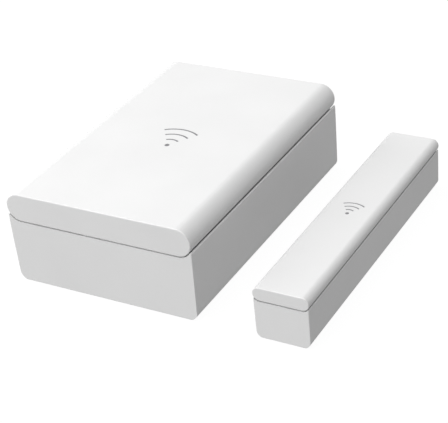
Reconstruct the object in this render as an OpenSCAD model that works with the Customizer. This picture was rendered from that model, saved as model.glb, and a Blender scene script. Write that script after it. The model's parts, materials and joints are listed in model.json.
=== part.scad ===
// Two-piece door contact sensor: a battery-powered sensor case and a slim magnet bar.
// The origin is the centre of the sensor's back face. +Z points away from the wall,
// +Y runs along the door edge and the magnet bar lies on the +X side.

/* [Sensor case] */
// Width of the sensor case, across the gap to the magnet bar
case_w = 40; // [40:0.5:46]
// Length of both cases, along the door edge
case_l = 60; // [60:1:66]
// Height of the sensor case with its lid on
case_h = 19.3; // [19.3:0.1:22]
// Thickness of the sensor lid, which is the diameter of its round long sides
lid_t = 5.8; // [5.2:0.1:6.2]
// Thickness of the sensor's side walls
wall = 1.5; // [1.2:0.1:1.7]
// Thickness of the sensor's floor
floor_t = 1.6; // [1.2:0.1:1.6]
// Thickness of the sensor lid's top wall
roof_t = 1.5; // [1.2:0.1:1.5]
// How far each long side leans in from the gap down to the floor
side_draft = 0.3; // [0:0.05:0.4]

/* [Magnet bar] */
// Width of the magnet bar's base
bar_w = 10.8; // [10.5:0.1:14]
// Height of the magnet bar with its lid on
bar_h = 10.7; // [10.7:0.1:13]
// Thickness of the magnet bar's lid
bar_lid_t = 2.7; // [2.5:0.1:3]
// How far the bar's lid overhangs its base on each side
bar_overhang = 0.1; // [0:0.05:0.2]
// Thickness of the magnet bar's walls and floor
bar_wall = 1.3; // [1.1:0.1:1.4]
// Clear gap between the two cases with the door shut
door_gap = 11.7; // [10:0.1:20]

/* [Edges and fits] */
// Height of the shadow gap between each base and its lid
shadow_gap = 0.2; // [0.15:0.05:0.3]
// Radius along the sensor's bottom long edges
foot_r = 1.9; // [0.8:0.1:2]
// Radius along the magnet bar's bottom long edges
bar_foot_r = 1.5; // [0.8:0.1:1.7]
// Radius of the edges round the two end faces
edge_r = 0.2; // [0.15:0.05:0.5]
// Side clearance between a lid's lip and its base
lip_gap = 0.35; // [0.25:0.05:0.4]

/* [Mounting] */
// Diameter of the fixing screw holes
screw_hole_d = 3.4; // [3:0.1:3.6]
// Distance between the two fixing screws of each case
screw_spacing = 44; // [42:0.5:46]
// Thickness of the adhesive pads, flush with the back faces
pad_t = 0.5; // [0.3:0.1:0.6]

/* [Lid symbol] */
// Number of nested arcs in the engraved signal symbol
mark_arcs = 3; // [2:1:4]
// Width of the engraved lines on the sensor lid
mark_line = 0.42; // [0.3:0.02:0.6]
// Depth of the engraving
mark_depth = 0.2; // [0.1:0.05:0.4]

/* [Hidden] */

$fn = 64;

// Sensor levels, from the back face up
lid_z = case_h - lid_t;
roof_z = case_h - roof_t;
board_z = 3.2;
board_t = 1.2;
board_top = board_z + board_t;
lip_t = 1.2;
lip_drop = 1.6;
lip_z = lid_z - lip_drop;
tip_r = 0.25;

// Inside of the sensor base, and outside of the lip that drops into it
bay_w = case_w - 2*wall - 2*side_draft;
bay_l = case_l - 2*wall;
bay_corner_r = 1.5;
lip_w = bay_w - 2*lip_gap;
lip_l = bay_l - 2*lip_gap;

// Snap tongues at the ends of each lid
snap_w = 6;
snap_proud = 0.4;
snap_side_gap = 0.5;

// Battery, a 15.6 mm by 27 mm lithium cell lying along the left of the bay
cell_d = 15.6;
cell_l = 27;
cell_cap_l = 1;
cell_cap_d = 6.4;
cell_x = -8.9;
cell_y0 = -24.2;
cell_y1 = cell_y0 + cell_l;
cell_z = floor_t + 0.2 + cell_d/2;
cradle_gap = 0.15;
contact_t = 0.3;
contact_w = 8;
contact_h = 7.6;
contact_z = 3.4;
contact_wall_y = cell_y1 + 1.7;

// Circuit board: a strip down the right of the bay and a wide end past the battery
board_x0 = -0.8;
board_x1 = bay_w/2 - 0.6;
board_left = -bay_w/2 + 0.8;
board_y = bay_l/2 - 0.8;
board_step_y = contact_wall_y + 2;
board_screw_at = [[14.2, -24.2], [-14.2, 24.2]];
board_rest_at = [[14.2, 24.2], [1.4, -26]];
board_screw_r = 1.0;
board_post_r = 2.3;
rest_post_r = 1.3;

// Fixing screws pass through round windows in the board
screw_x = 6;
screw_window_r = 3.7;
pad_window_r = 3.3;

// Reed contact by the wall that faces the magnet
reed_x = 14.9;
reed_z = board_top + 1.6;
reed_r = 1.1;
reed_l = 14;
reed_lead_r = 0.3;
reed_span = 19;

// Radio module
radio_x = 1.2;
radio_board_t = 0.8;

// Antenna coil
coil_r = 2.1;
coil_wire_r = 0.3;
coil_turns = 6;
coil_pitch = 1.4;
coil_steps = 16;
coil_sides = 6;
coil_at = [14.4, 11.6, board_top + coil_r + coil_wire_r];

// Switches
switch_w = 6;
switch_h = 3.4;
switch_bore_r = 1.85;
plunger_r = 1.75;
plunger_foot = 1.5;
tamper_at = [-5.6, 20.6];
tamper_top = board_top + switch_h + 1.6;
tamper_press_gap = 0.1;
pairing_at = [-12.4, 12.8];
pairing_top = board_top + switch_h + 1.2;

// Chips beside the radio, the controller and the switches
capacitor_at = [[1.8, -16.2], [4.6, -17.2], [12.2, -12.4], [12.2, -15], [0.6, 12.6], [8.2, 12.2]];
resistor_at = [[12.2, -9.6], [14.6, -16], [17, -12], [2.8, 12.6], [6, 12.2], [-14.6, 18.6], [-10.4, 18.6]];

// Magnet bar
bar_x = case_w/2 + door_gap + bar_w/2;
bar_lid_z = bar_h - bar_lid_t;
bar_lid_w = bar_w + 2*bar_overhang;
bar_draft = 0.1;
bar_tip_r = 0.15;
bar_bay_w = bar_w - 2*bar_wall;
bar_bay_l = case_l - 2*bar_wall - 0.4;
bar_roof_t = 1.1;
bar_lip_t = 0.8;
bar_lip_drop = 1.1;
bar_lip_gap = 0.3;
bar_lip_w = bar_bay_w - 2*bar_lip_gap;
bar_lip_l = bar_bay_l - 2*bar_lip_gap;
magnet_w = 6;
magnet_l = 30;
magnet_h = 5;
magnet_rib_t = 1.2;
magnet_rib_y = 9;
magnet_stop_h = 3.6;
bar_snap_w = 4;
bar_bay_corner_r = 0.8;
bar_pad_l = screw_spacing - 9;

// A 2D rectangle about the origin with round corners
module rounded_rect(w, h, r) {
    square([w - 2*r, h], center = true);
    square([w, h - 2*r], center = true);
    for (sx = [-1, 1], sy = [-1, 1])
        translate([sx*(w/2 - r), sy*(h/2 - r)]) circle(r);
}

// Stands a section drawn in X and Z up and runs it along Y
module along_y(l) {
    rotate([90, 0, 0]) linear_extrude(l, center = true) children();
}

// Stands a section drawn in Y and Z up and runs it along X
module along_x(l) {
    rotate([90, 0, 90]) linear_extrude(l, center = true) children();
}

// A lid's solid: a slab whose long sides are half-round and whose end edges are rounded
module slab(w, l, t, edge) {
    r = t/2;
    along_x(w - t) rounded_rect(l, t, edge);
    for (s = [-1, 1])
        translate([s*(w/2 - r), 0, 0])
            rotate([90, 0, 0])
                rotate([0, 0, s*90 - 180])
                    rotate_extrude(angle = 180)
                        intersection() {
                            rounded_rect(t, l, edge);
                            translate([0, -l/2]) square([r, l]);
                        }
}

// Outline of a lid across its width, used to cut its seat in the base
module slab_section(w, t, grow) {
    r = t/2;
    square([w - t, t + 2*grow], center = true);
    for (s = [-1, 1])
        translate([s*(w/2 - r), 0]) circle(r + grow);
}

// Height at which the rim beside the lid's round side is two tip radii thick
function rim_z(lid_mid_z, lid_r, gap, tip) =
    lid_mid_z - sqrt(pow(lid_r + gap, 2) - pow(lid_r - 2*tip, 2));

// Outline of a base across its width: round bottom edges, leaning sides, rims that cup the lid
module base_section(w, lid_w, t, z, draft, tip, foot) {
    rim = rim_z(z + t/2, t/2, shadow_gap, tip);
    foot_w = w - 2*draft - 2*foot;
    difference() {
        union() {
            polygon([[-w/2 + draft, foot], [w/2 - draft, foot], [w/2, rim], [-w/2, rim]]);
            translate([-foot_w/2, 0]) square([foot_w, 2*foot]);
            for (s = [-1, 1])
                translate([s*foot_w/2, foot]) circle(foot);
        }
        translate([0, z + t/2]) slab_section(lid_w, t, shadow_gap);
    }
    for (s = [-1, 1])
        translate([s*(w/2 - tip), rim]) circle(tip);
}

// Solid of a base before it is hollowed, with its upright and bottom end edges rounded
module base_solid(w, l, lid_w, t, z, draft, tip, foot) {
    intersection() {
        along_y(l) base_section(w, lid_w, t, z, draft, tip, foot);
        linear_extrude(z + t) rounded_rect(w, l, edge_r);
        along_x(w) translate([0, z/2 + t/2]) rounded_rect(l, z + t, edge_r);
    }
}

// The two fixing screw positions of a case
module at_screws(x) {
    for (s = [-1, 1])
        translate([x, s*screw_spacing/2, 0]) children();
}

// Signal symbol: a dot under nested arcs, centred on the lid
module signal_mark(size, line, depth) {
    pitch = size/(mark_arcs + 0.5);
    translate([0, -size/2, -depth]) {
        cylinder(r = 1.2*line, h = 2*depth);
        for (i = [1:mark_arcs])
            rotate([0, 0, 55])
                rotate_extrude(angle = 70)
                    translate([i*pitch, 0]) square([line, 2*depth]);
    }
}

// Saddle under the battery, split by the battery itself
module battery_saddle(y) {
    difference() {
        translate([cell_x - cell_d/2 - 0.6, y - 0.7, floor_t - 0.1])
            cube([board_x0 - 0.2 - cell_x + cell_d/2 + 0.6, 1.4, 4.6]);
        translate([cell_x, y, cell_z]) rotate([90, 0, 0])
            cylinder(r = cell_d/2 + cradle_gap, h = 3, center = true);
    }
}

// Post that the board stands on
module board_post(p, r) {
    translate([p[0], p[1], floor_t - 0.1]) cylinder(r = r, h = board_z - floor_t + 0.1);
}

// Wall that backs a battery contact
module contact_wall(y, h) {
    translate([cell_x - 6.5, y, floor_t - 0.1]) cube([13, 1.2, h + 0.1]);
}

module sensor_base() {
    color("gainsboro") difference() {
        union() {
            difference() {
                base_solid(case_w, case_l, case_w, lid_t, lid_z, side_draft, tip_r, foot_r);
                translate([0, 0, floor_t]) linear_extrude(case_h)
                    rounded_rect(bay_w, bay_l, bay_corner_r);
            }
            for (p = board_screw_at)
                board_post(p, board_post_r);
            for (p = board_rest_at)
                board_post(p, rest_post_r);
            battery_saddle(cell_y0 + 4);
            battery_saddle(cell_y1 - 5);
            contact_wall(contact_wall_y, 9);
            // guides that hold the negative contact against the end wall
            for (s = [-1, 1])
                translate([cell_x + s*(contact_w/2 + 0.75) - 0.6, -bay_l/2 - 0.1, floor_t - 0.1])
                    cube([1.2, 1.3, 8]);
        }
        for (p = board_screw_at)
            translate([p[0], p[1], floor_t - 0.6]) cylinder(r = board_screw_r + 0.05, h = 5);
        at_screws(screw_x) translate([0, 0, -1]) cylinder(d = screw_hole_d, h = 4);
        translate([0, 0, -1]) linear_extrude(1 + pad_t) sensor_pad_outline(0.1);
        // channels that let the lid's snap tongues slide down, and the pry notch behind
        for (s = [-1, 1])
            translate([-(snap_w/2 + snap_side_gap), s > 0 ? bay_l/2 - 1 : -bay_l/2 - 0.6, lip_z - 1])
                cube([snap_w + 2*snap_side_gap, 1.6, 10]);
        translate([-5, case_l/2 - 0.7, lid_z - shadow_gap - 0.7]) cube([10, 2, 2]);
    }
}

// Adhesive pad seen from behind, clear of the fixing screws
module sensor_pad_outline(grow) {
    difference() {
        rounded_rect(case_w - 7 + 2*grow, case_l - 6 + 2*grow, 2);
        for (s = [-1, 1])
            translate([screw_x, s*screw_spacing/2]) circle(pad_window_r - grow);
    }
}

module sensor_pad() {
    color("dimgray") linear_extrude(pad_t) sensor_pad_outline(0);
}

module sensor_lid() {
    color("whitesmoke") difference() {
        union() {
            difference() {
                union() {
                    translate([0, 0, lid_z + lid_t/2]) slab(case_w, case_l, lid_t, edge_r);
                    translate([0, 0, lip_z]) linear_extrude(lip_drop + 1)
                        rounded_rect(lip_w, lip_l, bay_corner_r - lip_gap);
                    for (s = [-1, 1])
                        translate([-snap_w/2, s > 0 ? lip_l/2 - 0.5 : -lip_l/2 - snap_proud, lip_z])
                            cube([snap_w, snap_proud + 0.5, 0.9]);
                }
                translate([0, 0, lip_z - 1]) linear_extrude(roof_z - lip_z + 1)
                    rounded_rect(lip_w - 2*lip_t, lip_l - 2*lip_t, bay_corner_r - lip_gap);
            }
            // stiffening ribs under the roof, clear of the battery
            for (y = [8.4, 15.4])
                translate([-lip_w/2 + 1, y, roof_z - 0.8]) cube([lip_w - 2, 1, 1]);
            translate([4, -lip_l/2 + 1, roof_z - 0.8]) cube([1, lip_l - 2, 1]);
            // post that presses the tamper plunger
            translate([tamper_at[0], tamper_at[1], tamper_top + tamper_press_gap])
                cylinder(r = 1.5, h = roof_z - tamper_top);
        }
        translate([0, 0, case_h]) signal_mark(7.4, mark_line, mark_depth);
    }
}

module main_board() {
    color("darkgreen") difference() {
        translate([0, 0, board_z]) linear_extrude(board_t) {
            translate([board_x0, -board_y]) square([board_x1 - board_x0, 2*board_y]);
            translate([board_left, board_step_y]) square([board_x1 - board_left, board_y - board_step_y]);
        }
        at_screws(screw_x) translate([0, 0, board_z - 1]) cylinder(r = screw_window_r, h = 4);
        for (p = board_screw_at)
            translate([p[0], p[1], board_z - 1]) cylinder(r = board_screw_r + 0.2, h = 4);
    }
}

// Self-tapping screws with a domed head and a cross recess
module board_screws() {
    color("silver")
        for (p = board_screw_at)
            translate([p[0], p[1], board_top]) difference() {
                union() {
                    translate([0, 0, -3.2]) cylinder(r = board_screw_r, h = 3.2);
                    intersection() {
                        cylinder(r = 1.9, h = 1.3);
                        translate([0, 0, -1.9]) sphere(r = 3.2);
                    }
                }
                for (a = [0, 90])
                    rotate([0, 0, a + 45]) translate([-1.1, -0.2, 0.7]) cube([2.2, 0.4, 1]);
            }
}

module battery_cell() {
    body_l = cell_l - cell_cap_l;
    groove_y = 2.2;
    color("slategray") translate([cell_x, cell_y0, cell_z]) rotate([-90, 0, 0])
        rotate_extrude() difference() {
            union() {
                square([cell_d/2, body_l - 0.5]);
                square([cell_d/2 - 0.5, body_l]);
                translate([cell_d/2 - 0.5, body_l - 0.5]) circle(0.5);
            }
            translate([cell_d/2 + 0.15, body_l - groove_y]) circle(0.4);
        }
}

module battery_cap() {
    color("silver") translate([cell_x, cell_y1 - cell_cap_l, cell_z]) rotate([-90, 0, 0])
        rotate_extrude() union() {
            square([cell_cap_d/2, cell_cap_l - 0.3]);
            square([cell_cap_d/2 - 0.3, cell_cap_l]);
            translate([cell_cap_d/2 - 0.3, cell_cap_l - 0.3]) circle(0.3);
        }
}

// Bowed leaf that reaches from a contact plate to the battery: a slice of a ring
module contact_bow(rise) {
    half = 2.8;
    r = (half*half + rise*rise)/(2*rise);
    along_x(4) intersection() {
        translate([rise - r, 0]) difference() {
            circle(r, $fn = 96);
            circle(r - contact_t, $fn = 96);
        }
        translate([-0.1, -half]) square([rise + 0.2, 2*half]);
    }
}

// Flat strap from a contact plate to the board
module contact_tail(x0, x1, y) {
    translate([x0, y, board_top]) cube([x1 - x0, 1.6, contact_t]);
}

module battery_contact_positive() {
    y = contact_wall_y - contact_t;
    color("silver") {
        translate([cell_x - contact_w/2, y, contact_z]) cube([contact_w, contact_t, contact_h]);
        translate([cell_x, y, cell_z - 1]) mirror([0, 1, 0]) contact_bow(y - cell_y1);
        // shoulder round the wall's right end, then the tail
        translate([cell_x + contact_w/2 - 0.1, y, board_top + 0.6]) cube([4.2, contact_t, 3]);
        translate([cell_x + contact_w/2 + 3.8, y, board_top]) cube([contact_t, 2.4, 3.6]);
        contact_tail(cell_x + contact_w/2 + 3.8, radio_x - 0.3, y + 0.8);
    }
}

module battery_contact_negative() {
    y = -bay_l/2;
    color("silver") {
        translate([cell_x - contact_w/2, y, contact_z]) cube([contact_w, contact_t, contact_h]);
        translate([cell_x, y + contact_t, cell_z - 1]) contact_bow(cell_y0 - y - contact_t);
        translate([cell_x + contact_w/2 + 1.5, y + 1.3, board_top]) cube([5.7, 1.2, contact_t]);
        translate([cell_x + contact_w/2 + 1.5, y + 1.3, board_top]) cube([contact_t, contact_t, 5.4]);
        translate([cell_x + contact_w/2 - 0.1, y + contact_t, board_top + 5.1]) cube([1.9, 1.3, contact_t]);
    }
}

module reed_glass() {
    color("lightcyan", 0.5) translate([reed_x, 0, reed_z]) rotate([90, 0, 0])
        rotate_extrude() difference() {
            rounded_rect(2*reed_r, reed_l, 0.7);
            rounded_rect(2*reed_r - 0.6, reed_l - 3, 0.5);
            translate([-2, -reed_l]) square([2, 2*reed_l]);
            square([2*reed_lead_r, 2*reed_l], center = true);
        }
}

// Each lead is a wire foot, a wire through the glass and a flat blade inside it
module reed_leads() {
    blade_reach = 0.9;
    weld = 0.4;
    seal_y = reed_l/2 - 1.6;
    color("silver") for (s = [-1, 1])
        translate([reed_x, 0, reed_z]) {
            translate([0, s > 0 ? seal_y - weld : -reed_span/2, 0]) rotate([-90, 0, 0])
                cylinder(r = reed_lead_r, h = reed_span/2 - seal_y + weld);
            translate([0, s*reed_span/2, board_top - reed_z])
                cylinder(r = reed_lead_r, h = reed_z - board_top);
            translate([0, s*reed_span/2, 0]) sphere(r = reed_lead_r);
            translate([-0.5, s > 0 ? -blade_reach : -seal_y, s*0.14 - 0.07])
                cube([1, seal_y + blade_reach, 0.14]);
        }
}

module radio_board() {
    color("darkblue") translate([radio_x, -6, board_top]) cube([11.6, 15, radio_board_t]);
}

module radio_shield() {
    color("silver") translate([radio_x + 5.8, 0, board_top + radio_board_t]) difference() {
        linear_extrude(2) rounded_rect(10.4, 10.4, 0.6);
        translate([0, 0, -1]) linear_extrude(2.8) rounded_rect(10, 10, 0.4);
        for (x = [-3, 0, 3], y = [-3, 0, 3])
            translate([x, y, 1]) cylinder(r = 0.35, h = 2);
    }
}

// Flat package on gull-wing legs
module microcontroller() {
    body = 6;
    legs = 7;
    pitch = 0.75;
    color("dimgray") translate([6.6, -12, board_top]) {
        translate([0, 0, 0.15]) linear_extrude(1) rounded_rect(body, body, 0.15);
        for (i = [0:legs - 1], a = [0, 90, 180, 270])
            rotate([0, 0, a]) translate([(i - (legs - 1)/2)*pitch - 0.15, body/2 - 0.1, 0]) {
                cube([0.3, 0.9, 0.15]);
                cube([0.3, 0.25, 0.6]);
            }
    }
}

// Points round the wire's section at one step of the helix
function coil_ring(i) =
    let (a = 360*i/coil_steps, along = coil_pitch*i/coil_steps)
    [for (k = [0:coil_sides - 1])
        let (b = 360*k/coil_sides, r = coil_r + coil_wire_r*cos(b))
        [r*cos(a), along + coil_wire_r*sin(b), r*sin(a)]];

module antenna_coil() {
    rings = coil_turns*coil_steps;
    points = [for (i = [0:rings]) each coil_ring(i)];
    sides = [for (i = [0:rings - 1], k = [0:coil_sides - 1])
        let (a = i*coil_sides + k, b = i*coil_sides + (k + 1) % coil_sides)
        [a, a + coil_sides, b + coil_sides, b]];
    start = [for (k = [0:coil_sides - 1]) k];
    end = [for (k = [coil_sides - 1:-1:0]) rings*coil_sides + k];
    color("goldenrod") translate(coil_at)
        polyhedron(points = points, faces = concat(sides, [start], [end]));
}

module crystal_can() {
    color("silver") translate([1.2, -12, board_top]) {
        linear_extrude(0.3) rounded_rect(2.5, 5, 0.3);
        linear_extrude(1.2) rounded_rect(2.1, 4.6, 0.5);
    }
}

// Electrolytic can on its square foot
module reservoir_capacitor() {
    color("silver") translate([-4.4, 12.4, board_top]) {
        linear_extrude(0.8) rounded_rect(6.4, 6.4, 0.8);
        translate([0, 0, 0.7]) rotate_extrude() difference() {
            union() {
                square([3.0, 6.2]);
                square([3.15, 5.9]);
            }
            translate([3.4, 1.4]) circle(0.45);
        }
    }
}

// Small block with end terminals, standing on the board
module chip(w, l, h) {
    translate([-w/2, -l/2, 0]) cube([w, l, h]);
}

module chip_capacitors() {
    color("tan")
        for (p = capacitor_at)
            translate([p[0], p[1], board_top]) chip(1.2, 2, 0.8);
}

module chip_resistors() {
    color("black")
        for (p = resistor_at)
            translate([p[0], p[1], board_top]) chip(0.9, 1.6, 0.45);
}

module status_led() {
    color("white") translate([0.8, 17.4, board_top]) {
        linear_extrude(0.6) rounded_rect(1.6, 3.2, 0.1);
        linear_extrude(1.2) rounded_rect(1.5, 2, 0.2);
    }
}

// Push switch housing with a blind bore for its plunger
module switch_housing(bore_z) {
    difference() {
        linear_extrude(switch_h) rounded_rect(switch_w, switch_w, 0.4);
        translate([0, 0, bore_z]) cylinder(r = switch_bore_r, h = switch_h);
    }
    for (sx = [-1, 1], sy = [-1, 1])
        translate([sx*(switch_w/2 + 0.3) - 0.4, sy*2 - 0.35, 0]) cube([0.8, 0.7, 0.2]);
}

module tamper_switch() {
    color("black") translate([tamper_at[0], tamper_at[1], board_top]) switch_housing(0.6);
}

module tamper_plunger() {
    bottom = board_top + switch_h - plunger_foot;
    color("white") translate([tamper_at[0], tamper_at[1], bottom])
        cylinder(r = plunger_r, h = tamper_top - bottom);
}

module pairing_switch() {
    color("black") translate([pairing_at[0], pairing_at[1], board_top]) switch_housing(0.6);
}

module pairing_button() {
    bottom = board_top + switch_h - plunger_foot;
    color("orangered") translate([pairing_at[0], pairing_at[1], bottom])
        cylinder(r = plunger_r, h = pairing_top - bottom);
}

module magnet_base() {
    color("gainsboro") translate([bar_x, 0, 0]) difference() {
        union() {
            difference() {
                base_solid(bar_w, case_l, bar_lid_w, bar_lid_t, bar_lid_z, bar_draft, bar_tip_r, bar_foot_r);
                translate([0, 0, bar_wall]) linear_extrude(bar_h)
                    rounded_rect(bar_bay_w, bar_bay_l, bar_bay_corner_r);
            }
            // ribs that hold the magnet at its sides and its ends
            for (s = [-1, 1], y = [-magnet_rib_y, magnet_rib_y])
                translate([s*(bar_bay_w/2 + magnet_w/2 + 0.15)/2, y, bar_wall - 0.1 + magnet_h/2])
                    cube([(bar_bay_w - magnet_w)/2 + 0.05, magnet_rib_t, magnet_h], center = true);
            for (s = [-1, 1])
                translate([0, s*(magnet_l/2 + 0.1 + magnet_rib_t/2), bar_wall - 0.1 + magnet_stop_h/2])
                    cube([bar_bay_w + 0.2, magnet_rib_t, magnet_stop_h], center = true);
        }
        at_screws(0) translate([0, 0, -1]) cylinder(d = screw_hole_d, h = 4);
        translate([0, 0, -1]) linear_extrude(1 + pad_t) magnet_pad_outline(0.1);
        // channels for the lid's snap tongues, and the pry notch behind
        for (s = [-1, 1])
            translate([0, s*(bar_bay_l/2 - 0.25), bar_lid_z - bar_lip_drop + 4.4])
                cube([bar_snap_w + 0.8, 1.5, 10], center = true);
        translate([-2.5, case_l/2 - 0.5, bar_lid_z - shadow_gap - 0.5]) cube([5, 2, 2]);
    }
}

module magnet_pad_outline(grow) {
    rounded_rect(bar_w - 3.7 + 2*grow, bar_pad_l + 2*grow, 1);
}

module magnet_pad() {
    color("dimgray") translate([bar_x, 0, 0]) linear_extrude(pad_t) magnet_pad_outline(0);
}

module bar_magnet() {
    color("gray") translate([bar_x, 0, bar_wall]) linear_extrude(magnet_h)
        rounded_rect(magnet_w, magnet_l, 0.4);
}

module magnet_lid() {
    lip_z0 = bar_lid_z - bar_lip_drop;
    color("whitesmoke") translate([bar_x, 0, 0]) difference() {
        union() {
            translate([0, 0, bar_lid_z + bar_lid_t/2]) slab(bar_lid_w, case_l, bar_lid_t, 0.8*edge_r);
            translate([0, 0, lip_z0]) linear_extrude(bar_lip_drop + 1)
                rounded_rect(bar_lip_w, bar_lip_l, 0.5);
            for (s = [-1, 1])
                translate([0, s*(bar_lip_l/2 - 0.1), lip_z0 + 0.3])
                    cube([bar_snap_w, 0.8, 0.6], center = true);
        }
        translate([0, 0, lip_z0 - 1]) linear_extrude(bar_h - bar_roof_t - lip_z0 + 1)
            rounded_rect(bar_lip_w - 2*bar_lip_t, bar_lip_l - 2*bar_lip_t, 0.5);
        translate([0, 0, bar_h]) signal_mark(4.2, 0.75*mark_line, mark_depth);
    }
}

sensor_base();
sensor_lid();
main_board();
board_screws();
battery_cell();
battery_cap();
battery_contact_positive();
battery_contact_negative();
reed_glass();
reed_leads();
radio_board();
radio_shield();
microcontroller();
antenna_coil();
crystal_can();
reservoir_capacitor();
chip_capacitors();
chip_resistors();
status_led();
tamper_switch();
tamper_plunger();
pairing_switch();
pairing_button();
sensor_pad();
magnet_base();
magnet_lid();
bar_magnet();
magnet_pad();
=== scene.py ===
"""Two-piece door contact sensor: white satin cases, and the electronics, cell and magnet inside them."""

import json
import math

import bmesh
import bpy
from mathutils import Matrix, Vector


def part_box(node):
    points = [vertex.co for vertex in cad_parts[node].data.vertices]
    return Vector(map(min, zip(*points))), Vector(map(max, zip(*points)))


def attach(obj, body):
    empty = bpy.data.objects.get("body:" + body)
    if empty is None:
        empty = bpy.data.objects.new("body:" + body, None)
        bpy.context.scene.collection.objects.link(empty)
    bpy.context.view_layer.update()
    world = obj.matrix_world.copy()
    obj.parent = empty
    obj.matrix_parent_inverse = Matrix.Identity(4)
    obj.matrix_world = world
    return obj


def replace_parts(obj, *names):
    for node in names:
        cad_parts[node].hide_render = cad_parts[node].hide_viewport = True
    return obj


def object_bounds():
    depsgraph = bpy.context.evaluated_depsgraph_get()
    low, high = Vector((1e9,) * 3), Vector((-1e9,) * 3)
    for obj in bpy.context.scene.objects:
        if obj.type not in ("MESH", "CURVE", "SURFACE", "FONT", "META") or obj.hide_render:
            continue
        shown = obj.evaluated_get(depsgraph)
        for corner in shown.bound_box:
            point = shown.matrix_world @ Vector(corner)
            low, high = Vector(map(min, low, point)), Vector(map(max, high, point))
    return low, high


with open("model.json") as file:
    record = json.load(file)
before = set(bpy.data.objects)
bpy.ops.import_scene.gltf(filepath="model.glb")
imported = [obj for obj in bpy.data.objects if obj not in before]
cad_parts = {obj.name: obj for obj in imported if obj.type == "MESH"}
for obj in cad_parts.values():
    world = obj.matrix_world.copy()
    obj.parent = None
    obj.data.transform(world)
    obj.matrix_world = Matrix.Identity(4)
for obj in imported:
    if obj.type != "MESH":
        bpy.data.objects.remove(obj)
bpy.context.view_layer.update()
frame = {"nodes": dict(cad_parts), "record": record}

MM = 0.001


def middle(node):
    """Centre of a CAD node's box, in metres."""
    low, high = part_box(node)
    return (low + high)/2


# ---------------------------------------------------------------- camera

AIM = Vector((14.0, -8.0, 9.6))*MM
DISTANCE = 269.0*MM
AZIMUTH = math.radians(32.0)
ELEVATION = math.radians(30.96)
ROLL = math.radians(-6.17)
LENS = 113.33


def add_camera():
    """A long lens that looks down on the front end and the magnet's side, leaning a little."""
    forward = Vector((-math.sin(AZIMUTH)*math.cos(ELEVATION),
                      math.cos(AZIMUTH)*math.cos(ELEVATION),
                      -math.sin(ELEVATION)))
    right = forward.cross(Vector((0, 0, 1))).normalized()
    turn = Matrix.Rotation(ROLL, 3, -forward)
    right = turn @ right
    up = right.cross(forward)
    data = bpy.data.cameras.new("camera")
    data.lens = LENS
    data.sensor_width = 36
    data.clip_start = 0.01
    data.clip_end = 50
    camera = bpy.data.objects.new("camera", data)
    bpy.context.scene.collection.objects.link(camera)
    pose = Matrix((right, up, -forward)).transposed().to_4x4()
    pose.translation = AIM - DISTANCE*forward
    camera.matrix_world = pose
    bpy.context.scene.camera = camera


add_camera()


# ---------------------------------------------------------------- material tools

class Shader:
    """A Principled material with helpers that wire procedural textures into it."""

    def __init__(self, name, colour, rough, metal=0.0, specular=0.5):
        self.material = bpy.data.materials.new(name)
        self.material.use_nodes = True
        self.tree = self.material.node_tree
        self.bsdf = self.tree.nodes["Principled BSDF"]
        self.bsdf.inputs["Base Color"].default_value = (*colour, 1)
        self.bsdf.inputs["Roughness"].default_value = rough
        self.bsdf.inputs["Metallic"].default_value = metal
        self.bsdf.inputs["Specular IOR Level"].default_value = specular
        self.place = self.tree.nodes.new("ShaderNodeTexCoord").outputs["Object"]
        self.height = None

    def node(self, kind, **values):
        made = self.tree.nodes.new(kind)
        for key, value in values.items():
            setattr(made, key, value)
        return made

    def link(self, a, b):
        self.tree.links.new(a, b)

    def stretched(self, scale):
        """Object position with each axis scaled, for grain that runs one way."""
        mapping = self.node("ShaderNodeMapping")
        mapping.inputs["Scale"].default_value = scale
        self.link(self.place, mapping.inputs["Vector"])
        return mapping.outputs["Vector"]

    def noise(self, size, detail=3.0, vector=None):
        """Noise whose blotches are about size metres across."""
        made = self.node("ShaderNodeTexNoise")
        made.inputs["Scale"].default_value = 1/size
        made.inputs["Detail"].default_value = detail
        self.link(vector or self.place, made.inputs["Vector"])
        return made.outputs["Fac"]

    def cells(self, size):
        """Distance to the middle of cells about size metres across."""
        made = self.node("ShaderNodeTexVoronoi")
        made.inputs["Scale"].default_value = 1/size
        self.link(self.place, made.inputs["Vector"])
        return made.outputs["Distance"]

    def ramp(self, source, low, high, a=0.35, b=0.65):
        """Maps source between a and b onto low to high."""
        made = self.node("ShaderNodeMapRange")
        made.inputs["From Min"].default_value = a
        made.inputs["From Max"].default_value = b
        made.inputs["To Min"].default_value = low
        made.inputs["To Max"].default_value = high
        self.link(source, made.inputs["Value"])
        return made.outputs["Result"]

    def blend(self, source, first, second, a=0.35, b=0.65):
        """A colour that runs from first to second as source goes from a to b."""
        made = self.node("ShaderNodeValToRGB")
        made.color_ramp.elements[0].position = a
        made.color_ramp.elements[0].color = (*first, 1)
        made.color_ramp.elements[1].position = b
        made.color_ramp.elements[1].color = (*second, 1)
        self.link(source, made.inputs["Fac"])
        return made.outputs["Color"]

    def colour_by(self, source, first, second, a=0.35, b=0.65):
        self.link(self.blend(source, first, second, a, b), self.bsdf.inputs["Base Color"])
        return self

    def rough_by(self, source, low, high):
        self.link(self.ramp(source, low, high), self.bsdf.inputs["Roughness"])
        return self

    def bump(self, source, depth, strength=1.0):
        """Adds a bump of about depth metres over any bump already there."""
        made = self.node("ShaderNodeBump")
        made.inputs["Distance"].default_value = depth
        made.inputs["Strength"].default_value = strength
        self.link(source, made.inputs["Height"])
        if self.height is not None:
            self.link(self.height, made.inputs["Normal"])
        self.height = made.outputs["Normal"]
        self.link(self.height, self.bsdf.inputs["Normal"])
        return self


def tint(colour, factor):
    return tuple(min(1.0, c*factor) for c in colour)


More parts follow.
